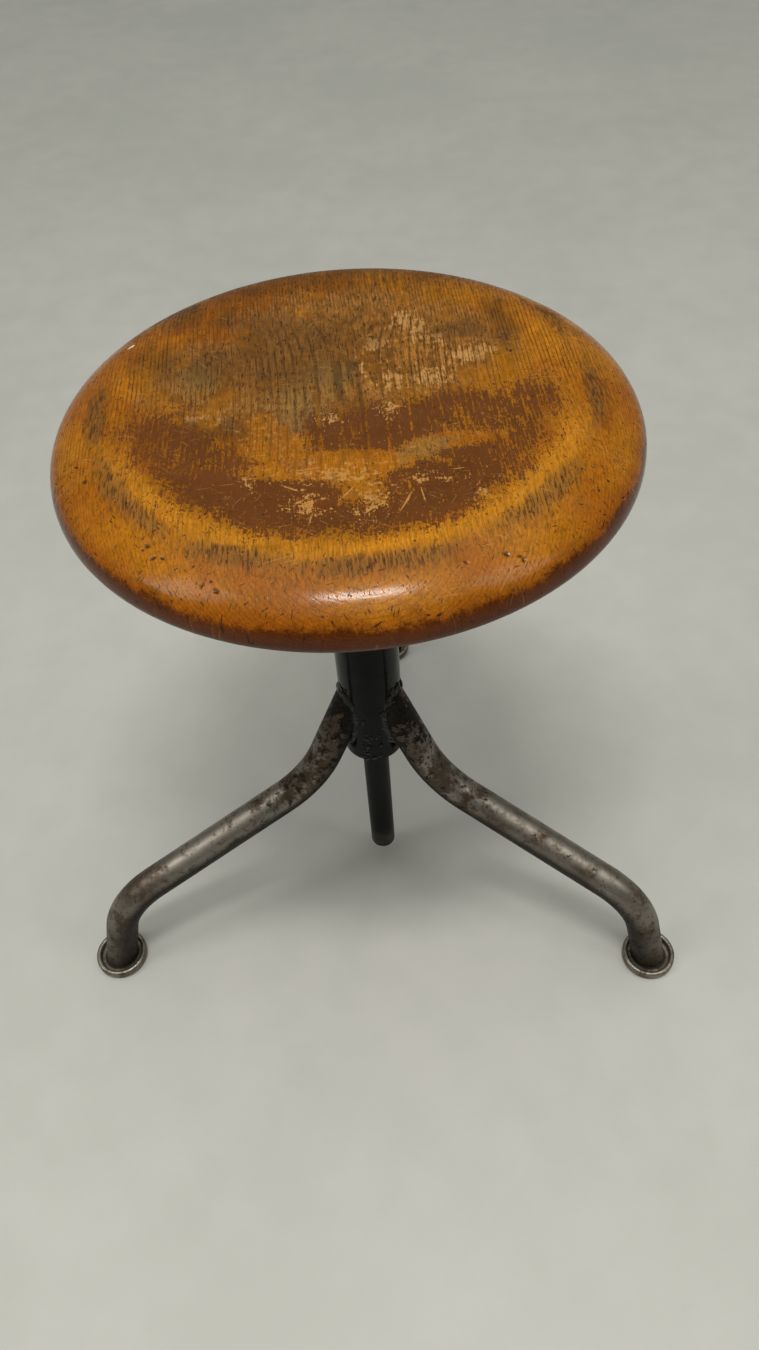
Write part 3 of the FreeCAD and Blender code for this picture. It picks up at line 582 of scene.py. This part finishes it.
def patinated_tube():
    graph = Graph("patinated_tube")
    broad = graph.grit(graph.place, 0.045)
    cloud = graph.grit(graph.place, 0.013, detail=4.0, roughness=0.65)
    fine = graph.grit(graph.place, 0.0026, roughness=0.6)
    distance = hub_distance(graph)
    colour = graph.mix((broad * 0.8 + cloud * 0.7 + fine * 0.3).ramp(-0.6, 1.0),
                       LEG_STEEL, LEG_DULL)
    # Brown patina, most of it near the hub and at the ankle.
    ankle = distance.ramp(0.190, 0.245)
    near = graph.most(distance.ramp(0.140, 0.050), ankle * 0.50)
    brown = (cloud * 1.0 + fine * 0.35 + near * 1.0).ramp(0.20, 1.1)
    colour = graph.mix(brown * 0.76, colour, LEG_PATINA)
    colour = graph.mix(ankle * 0.30, colour, LEG_ANKLE)
    bright = (graph.grit(graph.place, 0.0075, detail=5.0, roughness=0.75) + fine * 0.3
              ).ramp(0.65, 1.0)
    colour = graph.mix(bright * (0.40 - near * 0.22), colour, LEG_RUBBED)
    rust = (graph.grit(graph.place, 0.0060, detail=5.0, roughness=0.75) + near * 0.50
            ).ramp(0.60, 0.95)
    colour = graph.mix(rust * 0.86, colour, LEG_RUST)
    # Old black paint close to the hub, and painted shade along the underside: the downward-facing
    # side of each leg is darkened, more so near the hub.
    painted = (distance + cloud * 0.020 + fine * 0.008).ramp(0.041, 0.034)
    facing = graph.add("ShaderNodeTexCoord", {}, output="Normal")
    _, _, up = graph.parts(facing)
    shaded = (up + cloud * 0.16 + fine * 0.09 + near * 0.34).ramp(0.60, 0.08)
    # Black for the paint by the hub and for the painted shade underneath; with rust and patina it
    # also makes the steel less metallic.
    black = graph.most(painted, shaded * 0.92)
    colour = graph.mix(black * 0.95, colour, LEG_PAINT_AND_SHADE_BLACK)
    oxide_paint_and_shade = graph.most(rust, black, brown * 0.50)
    metallic = 0.92 - oxide_paint_and_shade * 0.90
    roughness = 0.45 + cloud * 0.05 + oxide_paint_and_shade * 0.04 + fine * 0.02
    relief = fine * 0.12 + cloud * 0.16 - rust * 0.9 + bright * 0.1 + painted * 0.5
    return graph.finish(Base_Color=colour, Metallic=metallic, Roughness=roughness,
                        Specular_IOR_Level=0.06, Normal=graph.bump(relief, 0.00022))


def worn_cup():
    graph = Graph("worn_cup")
    _, _, z = graph.parts(graph.place)
    cloud = graph.grit(graph.place, 0.009, roughness=0.6)
    fine = graph.grit(graph.place, 0.0018)
    colour = graph.mix((cloud + fine * 0.4).ramp(-0.6, 0.8), CUP_STEEL, CUP_DULL)
    # The top of the rim is lighter: rubbed metal, and a painted highlight.
    polished_and_highlight = graph.least(z.ramp(0.0068, 0.0086), (cloud + fine * 0.5).ramp(1.2, -0.2))
    colour = graph.mix(polished_and_highlight * 0.6, colour, CUP_POLISHED_AND_HIGHLIGHT)
    # Painted shade in the gap between the cup's rim and the leg.
    gap_radius = 15.9
    gaps = []
    for foot in LEGS:
        low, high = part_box(f"foot_cup_{foot}")
        middle = (low + high) / (2 * MM)
        gaps.append((middle.x, middle.y, gap_radius, gap_radius))
    gap_shade = (graph.blots(graph.place, gaps) + fine * 0.02).ramp(0.02, 0.08)
    colour = graph.mix(gap_shade * 0.95, colour, CUP_GAP_SHADE)
    grime = (z + fine * 0.0006).ramp(0.0036, 0.0012)
    colour = graph.mix(grime * 0.8, colour, CUP_GRIME)
    grime_and_shade = graph.most(grime, gap_shade)
    roughness = 0.40 + cloud * 0.05 + grime_and_shade * 0.25
    relief = fine * 0.15 + cloud * 0.3
    return graph.finish(Base_Color=colour, Metallic=0.9 - grime_and_shade * 0.8, Roughness=roughness,
                        Specular_IOR_Level=0.3, Normal=graph.bump(relief, 0.0003))


def blackened_spindle():
    graph = Graph("blackened_spindle")
    _, _, z = graph.parts(graph.place)
    cloud = graph.grit(graph.place, 0.012)
    scrape = graph.grit(graph.stretched(graph.place, 0.0015, 0.0015, 0.014))
    low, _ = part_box("spindle")
    tip = (z + cloud * 0.006).ramp(low.z + 0.034, low.z + 0.012)
    worn = (scrape * 0.8 + cloud * 0.5).ramp(0.75, 1.4)
    colour = graph.mix(worn * 0.6, SPINDLE_BLACK, SPINDLE_WORN)
    colour = graph.mix(tip * (0.55 + cloud * 0.35), colour, SPINDLE_TIP)
    metallic = graph.most(worn, tip) * 0.6
    roughness = 0.38 + cloud * 0.03 + tip * 0.12
    relief = scrape * 0.25 + cloud * 0.1
    return graph.finish(Base_Color=colour, Metallic=metallic, Roughness=roughness,
                        Specular_IOR_Level=0.10, Normal=graph.bump(relief, 0.00012))


def plain_metal(name, colour, dark, size, roughness):
    """A dull machined metal that is mottled between two colours."""
    graph = Graph(name)
    cloud = graph.noise(graph.place, size, detail=4.0)
    fine = graph.noise(graph.place, size / 6, detail=2.0)
    shown = graph.mix(cloud.ramp(0.40, 0.62), colour, dark)
    return graph.finish(Base_Color=shown, Metallic=0.9, Roughness=roughness + cloud * 0.2,
                        Normal=graph.bump(fine + cloud, 0.0001))


def oiled_leather():
    graph = Graph("oiled_leather")
    cloud = graph.noise(graph.place, 0.006, detail=3.0)
    grain = graph.cells(graph.place, 0.0011)
    colour = graph.mix(cloud, LEATHER_DARK, LEATHER_LIGHT)
    return graph.finish(Base_Color=colour, Roughness=0.5 + cloud * 0.2,
                        Normal=graph.bump(grain + cloud, 0.0002))


def pale_floor():
    graph = Graph("pale_floor")
    broad = graph.noise(graph.place, 0.35, detail=3.0)
    cloud = graph.noise(graph.place, 0.05, detail=4.0)
    fine = graph.noise(graph.place, 0.004, detail=3.0)
    colour = graph.mix((broad * 0.6 + cloud * 0.4).ramp(0.36, 0.66), FLOOR_GREY, FLOOR_PALE)
    return graph.finish(Base_Color=colour, Roughness=0.42 + cloud * 0.2,
                        Normal=graph.bump(fine * 0.3 + cloud, 0.0004))


def make_materials():
    """The material of each slot in the record."""
    return {
        "seat_wood": worn_seat(),
        "frame_paint": black_paint(),
        "leg_steel": patinated_tube(),
        "foot_steel": worn_cup(),
        "spindle_steel": blackened_spindle(),
        "nut_iron": plain_metal("dark_iron", IRON, IRON_DARK, size=0.008, roughness=0.42),
        "fastener_steel": plain_metal("dull_steel", FASTENER, FASTENER_DARK, size=0.004,
                                      roughness=0.36),
        "washer_leather": oiled_leather(),
    }


# ---------------------------------------------------------------- meshes


def smooth_piece(mesh, material):
    """A visible piece with a mesh's name, smooth, in one material."""
    mesh.materials.append(material)
    mesh.shade_smooth()
    piece = bpy.data.objects.new(mesh.name, mesh)
    bpy.context.scene.collection.objects.link(piece)
    return piece


def arc(centre, radius, start, end, count):
    """Points on an arc in the (r, z) plane. Angles are in degrees, counted from +r to +z."""
    angles = np.radians(np.linspace(start, end, count))
    return [(centre[0] + radius * math.cos(a), centre[1] + radius * math.sin(a)) for a in angles]


def seat_profile():
    """Half section of the seat board: dish, crest, rolled edge and flat underside."""
    top, low = SEAT_HIGH.z, SEAT_LOW.z
    crest_r = SEAT_RADIUS - 40.6 * MM
    flat_r, depth, blend, small, low_round = 40 * MM, 7 * MM, 100 * MM, 20 * MM, 6 * MM
    drop = 27.1 * MM
    run = SEAT_RADIUS - crest_r
    large = (run ** 2 + drop ** 2 - 2 * run * small) / (2 * (drop - small))
    turn = math.degrees(math.atan2(large - drop, run - small))
    dish_run = crest_r - flat_r
    arcs = (dish_run ** 2 + depth ** 2) / (2 * depth)
    slope = math.degrees(math.asin(dish_run / arcs))
    profile = [(r * MM, top - depth) for r in (3, 6, 10, 14, 18, 22, 26, 30, 34, 38)]
    profile += arc((flat_r, top - depth + arcs - blend), arcs - blend, -90, -90 + slope, 44)
    profile += arc((crest_r, top - blend), blend, 90 + slope, 90, 10)[1:]
    profile += arc((crest_r, top - large), large, 90, turn, 22)[1:]
    profile += arc((SEAT_RADIUS - small, top - drop), small, turn, 0, 14)[1:]
    profile += arc((SEAT_RADIUS - low_round, low + low_round), low_round, 0, -90, 7)
    profile += [(r * MM, low) for r in (164, 156, 146, 134, 120, 104, 86, 66, 44, 22)]
    return profile


def pit_depth(x, y):
    """How deep the pits cut at a place on the seat, in metres."""
    depth = 0.0
    for centre_x, centre_y, across, along, turn, cut in [*PITS, CHIP]:
        dx, dy = x / MM - centre_x, y / MM - centre_y
        u = (dx * math.cos(turn) + dy * math.sin(turn)) / across
        v = (dy * math.cos(turn) - dx * math.sin(turn)) / along
        near = u * u + v * v
        if near < 1:
            depth = max(depth, cut * MM * (1 - near) ** 1.2)
    return depth


def make_seat(material):
    """The seat board turned from its half section, then worn."""
    segments = 360
    profile = seat_profile()
    points = [(0, 0, profile[0][1])]
    for r, z in profile:
        for step in range(segments):
            a = 2 * math.pi * step / segments
            points.append((r * math.cos(a), r * math.sin(a), z))
    points.append((0, 0, profile[-1][1]))
    faces = [(0, 1 + step, 1 + (step + 1) % segments) for step in range(segments)]
    for ring in range(len(profile) - 1):
        base = 1 + ring * segments
        for step in range(segments):
            after = (step + 1) % segments
            faces.append((base + step, base + segments + step, base + segments + after,
                          base + after))
    last = 1 + (len(profile) - 1) * segments
    faces += [(last + step, len(points) - 1, last + (step + 1) % segments)
              for step in range(segments)]
    mesh = bpy.data.meshes.new("seat_wood")
    mesh.from_pydata(points, [], faces)
    mesh.validate()
    piece = smooth_piece(mesh, material)
    wear_seat(mesh)
    return piece


def seat_place(point):
    """A point of the seat in the frame of its grain, in which the pits are given."""
    return (point.x * math.cos(GRAIN_TURN) + point.y * math.sin(GRAIN_TURN),
            point.y * math.cos(GRAIN_TURN) - point.x * math.sin(GRAIN_TURN))


def wear_seat(mesh):
    """Cut the pits into the seat and make its top slightly uneven. Nothing moves outwards."""
    shape = bmesh.new()
    shape.from_mesh(mesh)
    margin = 2.5 * MM
    deepest_dent = 0.16 * MM
    pitted = []
    for face in shape.faces:
        centre = face.calc_center_median()
        if centre.z < SEAT_LOW.z + 6 * MM:
            continue
        x, y = seat_place(centre)
        for pit in [*PITS, CHIP]:
            reach = max(pit[2], pit[3]) * MM + margin
            if math.hypot(x - pit[0] * MM, y - pit[1] * MM) < reach:
                pitted.append(face)
                break
    edges = {edge for face in pitted for edge in face.edges}
    bmesh.ops.subdivide_edges(shape, edges=list(edges), cuts=5, use_grid_fill=True)
    shape.normal_update()
    moves = []
    for vertex in shape.verts:
        if vertex.co.z < SEAT_LOW.z + 4 * MM:
            continue
        swell = noise.noise(vertex.co * 26) * 0.5 + noise.noise(vertex.co * 70) * 0.2
        dent = deepest_dent * max(0.0, 0.5 + swell)
        x, y = seat_place(vertex.co)
        moves.append((vertex, vertex.normal * (dent + pit_depth(x, y))))
    for vertex, move in moves:
        vertex.co -= move
    shape.to_mesh(mesh)
    shape.free()


def saddle(azimuth, turn):
    """A point where a leg's surface meets the hub's, and the hub's normal there."""
    run, drop = LEG_KNEE[0] - LEG_START[0], LEG_KNEE[1] - LEG_START[1]
    length = math.hypot(run, drop)
    run, drop = run / length, drop / length
    side = LEG_RADIUS * math.sin(turn)
    lift = LEG_RADIUS * math.cos(turn)
    out = math.sqrt(HUB_RADIUS ** 2 - side ** 2)
    travel = (out - LEG_START[0] + lift * drop) / run
    height = LEG_START[1] + travel * drop + lift * run
    a = math.radians(azimuth)
    outward = Vector((math.sin(a), math.cos(a), 0))
    sideways = Vector((math.cos(a), -math.sin(a), 0))
    point = outward * out + sideways * side + Vector((0, 0, height))
    normal = Vector((point.x, point.y, 0)).normalized()
    return point, normal


def add_lump(shape, centre, normal, width, height, seed):
    """A flat rough lump of weld or paint that sits on a surface."""
    turn = normal.to_track_quat("Z", "Y").to_matrix().to_4x4()
    stretch = Matrix.Diagonal((width, width, height, 1.0))
    made = bmesh.ops.create_icosphere(shape, subdivisions=3, radius=1.0,
                                      matrix=Matrix.Translation(centre) @ turn @ stretch)
    for vertex in made["verts"]:
        offset = vertex.co - centre
        vertex.co += offset * 0.45 * noise.noise(vertex.co * 420 + Vector((seed, 0, 0)))


def add_bead(shape, azimuth, seed):
    """A closed lumpy weld bead round one leg's joint."""
    steps, sides = 132, 14
    nearby = 0.03
    sunk = 3.2
    rings = []
    for step in range(steps):
        turn = 2 * math.pi * step / steps
        point, normal = saddle(azimuth, turn)
        before, _ = saddle(azimuth, turn - nearby)
        after, _ = saddle(azimuth, turn + nearby)
        along = (after - before).normalized()
        across = along.cross(normal).normalized()
        rough = noise.noise(point * 120 + Vector((seed, 0, 0)))
        radius = (4.5 + 1.6 * rough) * MM
        ring = []
        for side in range(sides):
            a = 2 * math.pi * side / sides
            middle = point - normal * sunk * MM
            place = middle + (across * math.cos(a) + normal * math.sin(a)) * radius
            place += (place - middle) * 0.24 * noise.noise(place * 300)
            ring.append(shape.verts.new(place))
        rings.append(ring)
    for step in range(steps):
        ring, following = rings[step], rings[(step + 1) % steps]
        for side in range(sides):
            after = (side + 1) % sides
            shape.faces.new((ring[side], ring[after], following[after], following[side]))


def finish_shape(shape, name, material):
    """Turn a shape's faces outwards and make it a piece."""
    bmesh.ops.recalc_face_normals(shape, faces=shape.faces)
    mesh = bpy.data.meshes.new(name)
    shape.to_mesh(mesh)
    shape.free()
    return smooth_piece(mesh, material)


def make_weld(name, azimuth, material):
    """The weld of one leg: its bead and the spatter round it."""
    draw = random.Random(name)
    lumps = 52
    shape = bmesh.new()
    add_bead(shape, azimuth, draw.uniform(0, 50))
    for _ in range(lumps):
        point, normal = saddle(azimuth, draw.gauss(0, 1.5))
        spread = Vector((draw.gauss(0, 3.4), draw.gauss(0, 3.4), draw.gauss(0, 4.5))) * MM
        place = point + spread
        flat = Vector((place.x, place.y, 0))
        place = flat.normalized() * (HUB_RADIUS + 0.1 * MM) + Vector((0, 0, place.z))
        width = draw.uniform(1.0, 3.0) * MM
        add_lump(shape, place, normal, width, width * draw.uniform(0.25, 0.6),
                 draw.uniform(0, 50))
    return finish_shape(shape, name, material)


def make_spatter(material):
    """Rough dabs of paint and weld spatter low on the hub's front."""
    draw = random.Random("spatter")
    shape = bmesh.new()
    # Direction in degrees from +X and its spread, height in mm and its spread, and how many.
    dabs = [(-101, 8, 190, 8, 26), (-94, 22, HUB_LOW.z / MM + 3, 1.2, 12), (-84, 24, 200, 12, 14)]
    for middle, spread, height, rise, count in dabs:
        for _ in range(count):
            a = math.radians(middle + draw.gauss(0, spread * 0.5))
            normal = Vector((math.cos(a), math.sin(a), 0))
            z = max(height + draw.gauss(0, rise), HUB_LOW.z / MM + 1.6) * MM
            width = draw.uniform(0.6, 1.9) * MM
            add_lump(shape, normal * HUB_RADIUS + Vector((0, 0, z)), normal, width,
                     width * draw.uniform(0.35, 0.7), draw.uniform(0, 50))
    return finish_shape(shape, "hub_spatter", material)


def dress_stool():
    """Give every CAD node its material and add the pieces that the CAD lacks."""
    materials = make_materials()
    for entry in frame["record"]["subparts"]:
        node = frame["nodes"][entry["node"]]
        node.material_slots[0].material = materials[entry["material_slot"]]
    seat = make_seat(materials["seat_wood"])
    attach(seat, "seat")
    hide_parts("seat_board")
    rough = painted_weld()
    for side, azimuth in LEGS.items():
        weld = make_weld(f"weld_{side}", azimuth, rough)
        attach(weld, "frame")
    spatter = make_spatter(rough)
    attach(spatter, "frame")


# ---------------------------------------------------------------- floor, light and camera


def add_floor():
    mesh = bpy.data.meshes.new("floor")
    half = 6.0
    corners = [(-half, -half, 0), (half, -half, 0), (half, half, 0), (-half, half, 0)]
    mesh.from_pydata(corners, [], [(0, 1, 2, 3)])
    mesh.materials.append(pale_floor())
    floor = bpy.data.objects.new("floor", mesh)
    bpy.context.scene.collection.objects.link(floor)


def add_lamp(name, place, target, size, power):
    """A soft rectangular lamp aimed at a target."""
    data = bpy.data.lights.new(name, "AREA")
    data.shape = "RECTANGLE"
    data.size, data.size_y = size
    data.energy = power
    data.color = LAMP_WHITE
    lamp = bpy.data.objects.new(name, data)
    lamp.location = place
    direction = Vector(target) - Vector(place)
    lamp.rotation_euler = direction.to_track_quat("-Z", "Y").to_euler()
    bpy.context.scene.collection.objects.link(lamp)


def add_light():
    """A pale sky that is brightest overhead, a lamp above the stool and one on each side."""
    world = bpy.data.worlds.new("studio")
    world.use_nodes = True
    nodes, links = world.node_tree.nodes, world.node_tree.links
    place = nodes.new("ShaderNodeTexCoord")
    split = nodes.new("ShaderNodeSeparateXYZ")
    rise = nodes.new("ShaderNodeMapRange")
    rise.interpolation_type = "SMOOTHSTEP"
    for name, number in (("From Min", 0.66), ("From Max", 1.0), ("To Min", 0.12), ("To Max", 1.20)):
        rise.inputs[name].default_value = number
    links.new(place.outputs["Generated"], split.inputs[0])
    links.new(split.outputs["Z"], rise.inputs["Value"])
    background = nodes["Background"]
    background.inputs["Color"].default_value = opaque(SKY_WHITE)
    links.new(rise.outputs[0], background.inputs["Strength"])
    bpy.context.scene.world = world
    add_lamp("ceiling_lamp", place=(0.07, -0.58, 2.55), target=(0, 0, 0.3), size=(0.72, 0.22),
             power=20)
    for side, power in ((-1, 13), (1, 9)):
        add_lamp(f"side_lamp_{side}", place=(side * 2.0, -0.75, 2.3), target=(0, 0, 0.2),
                 size=(0.7, 1.6), power=power)


def add_camera():
    """The camera in front of the stool, a little to the right, looking down at it."""
    heading, pitch, roll = -0.083, math.radians(49.04), -0.07757
    forward = Vector((math.sin(heading) * math.cos(pitch), math.cos(heading) * math.cos(pitch),
                      -math.sin(pitch)))
    camera = bpy.data.objects.new("camera", bpy.data.cameras.new("camera"))
    camera.location = (0.0496, -0.497, 0.8265)
    camera.rotation_mode = "QUATERNION"
    camera.rotation_quaternion = Quaternion(forward, -roll) @ forward.to_track_quat("-Z", "Y")
    camera.data.sensor_width = 36.0
    camera.data.lens = 26.48
    camera.data.clip_start = 0.02
    bpy.context.scene.collection.objects.link(camera)
    bpy.context.scene.camera = camera


dress_stool()
add_floor()
add_light()
add_camera()
bpy.context.scene.view_settings.view_transform = "Standard"
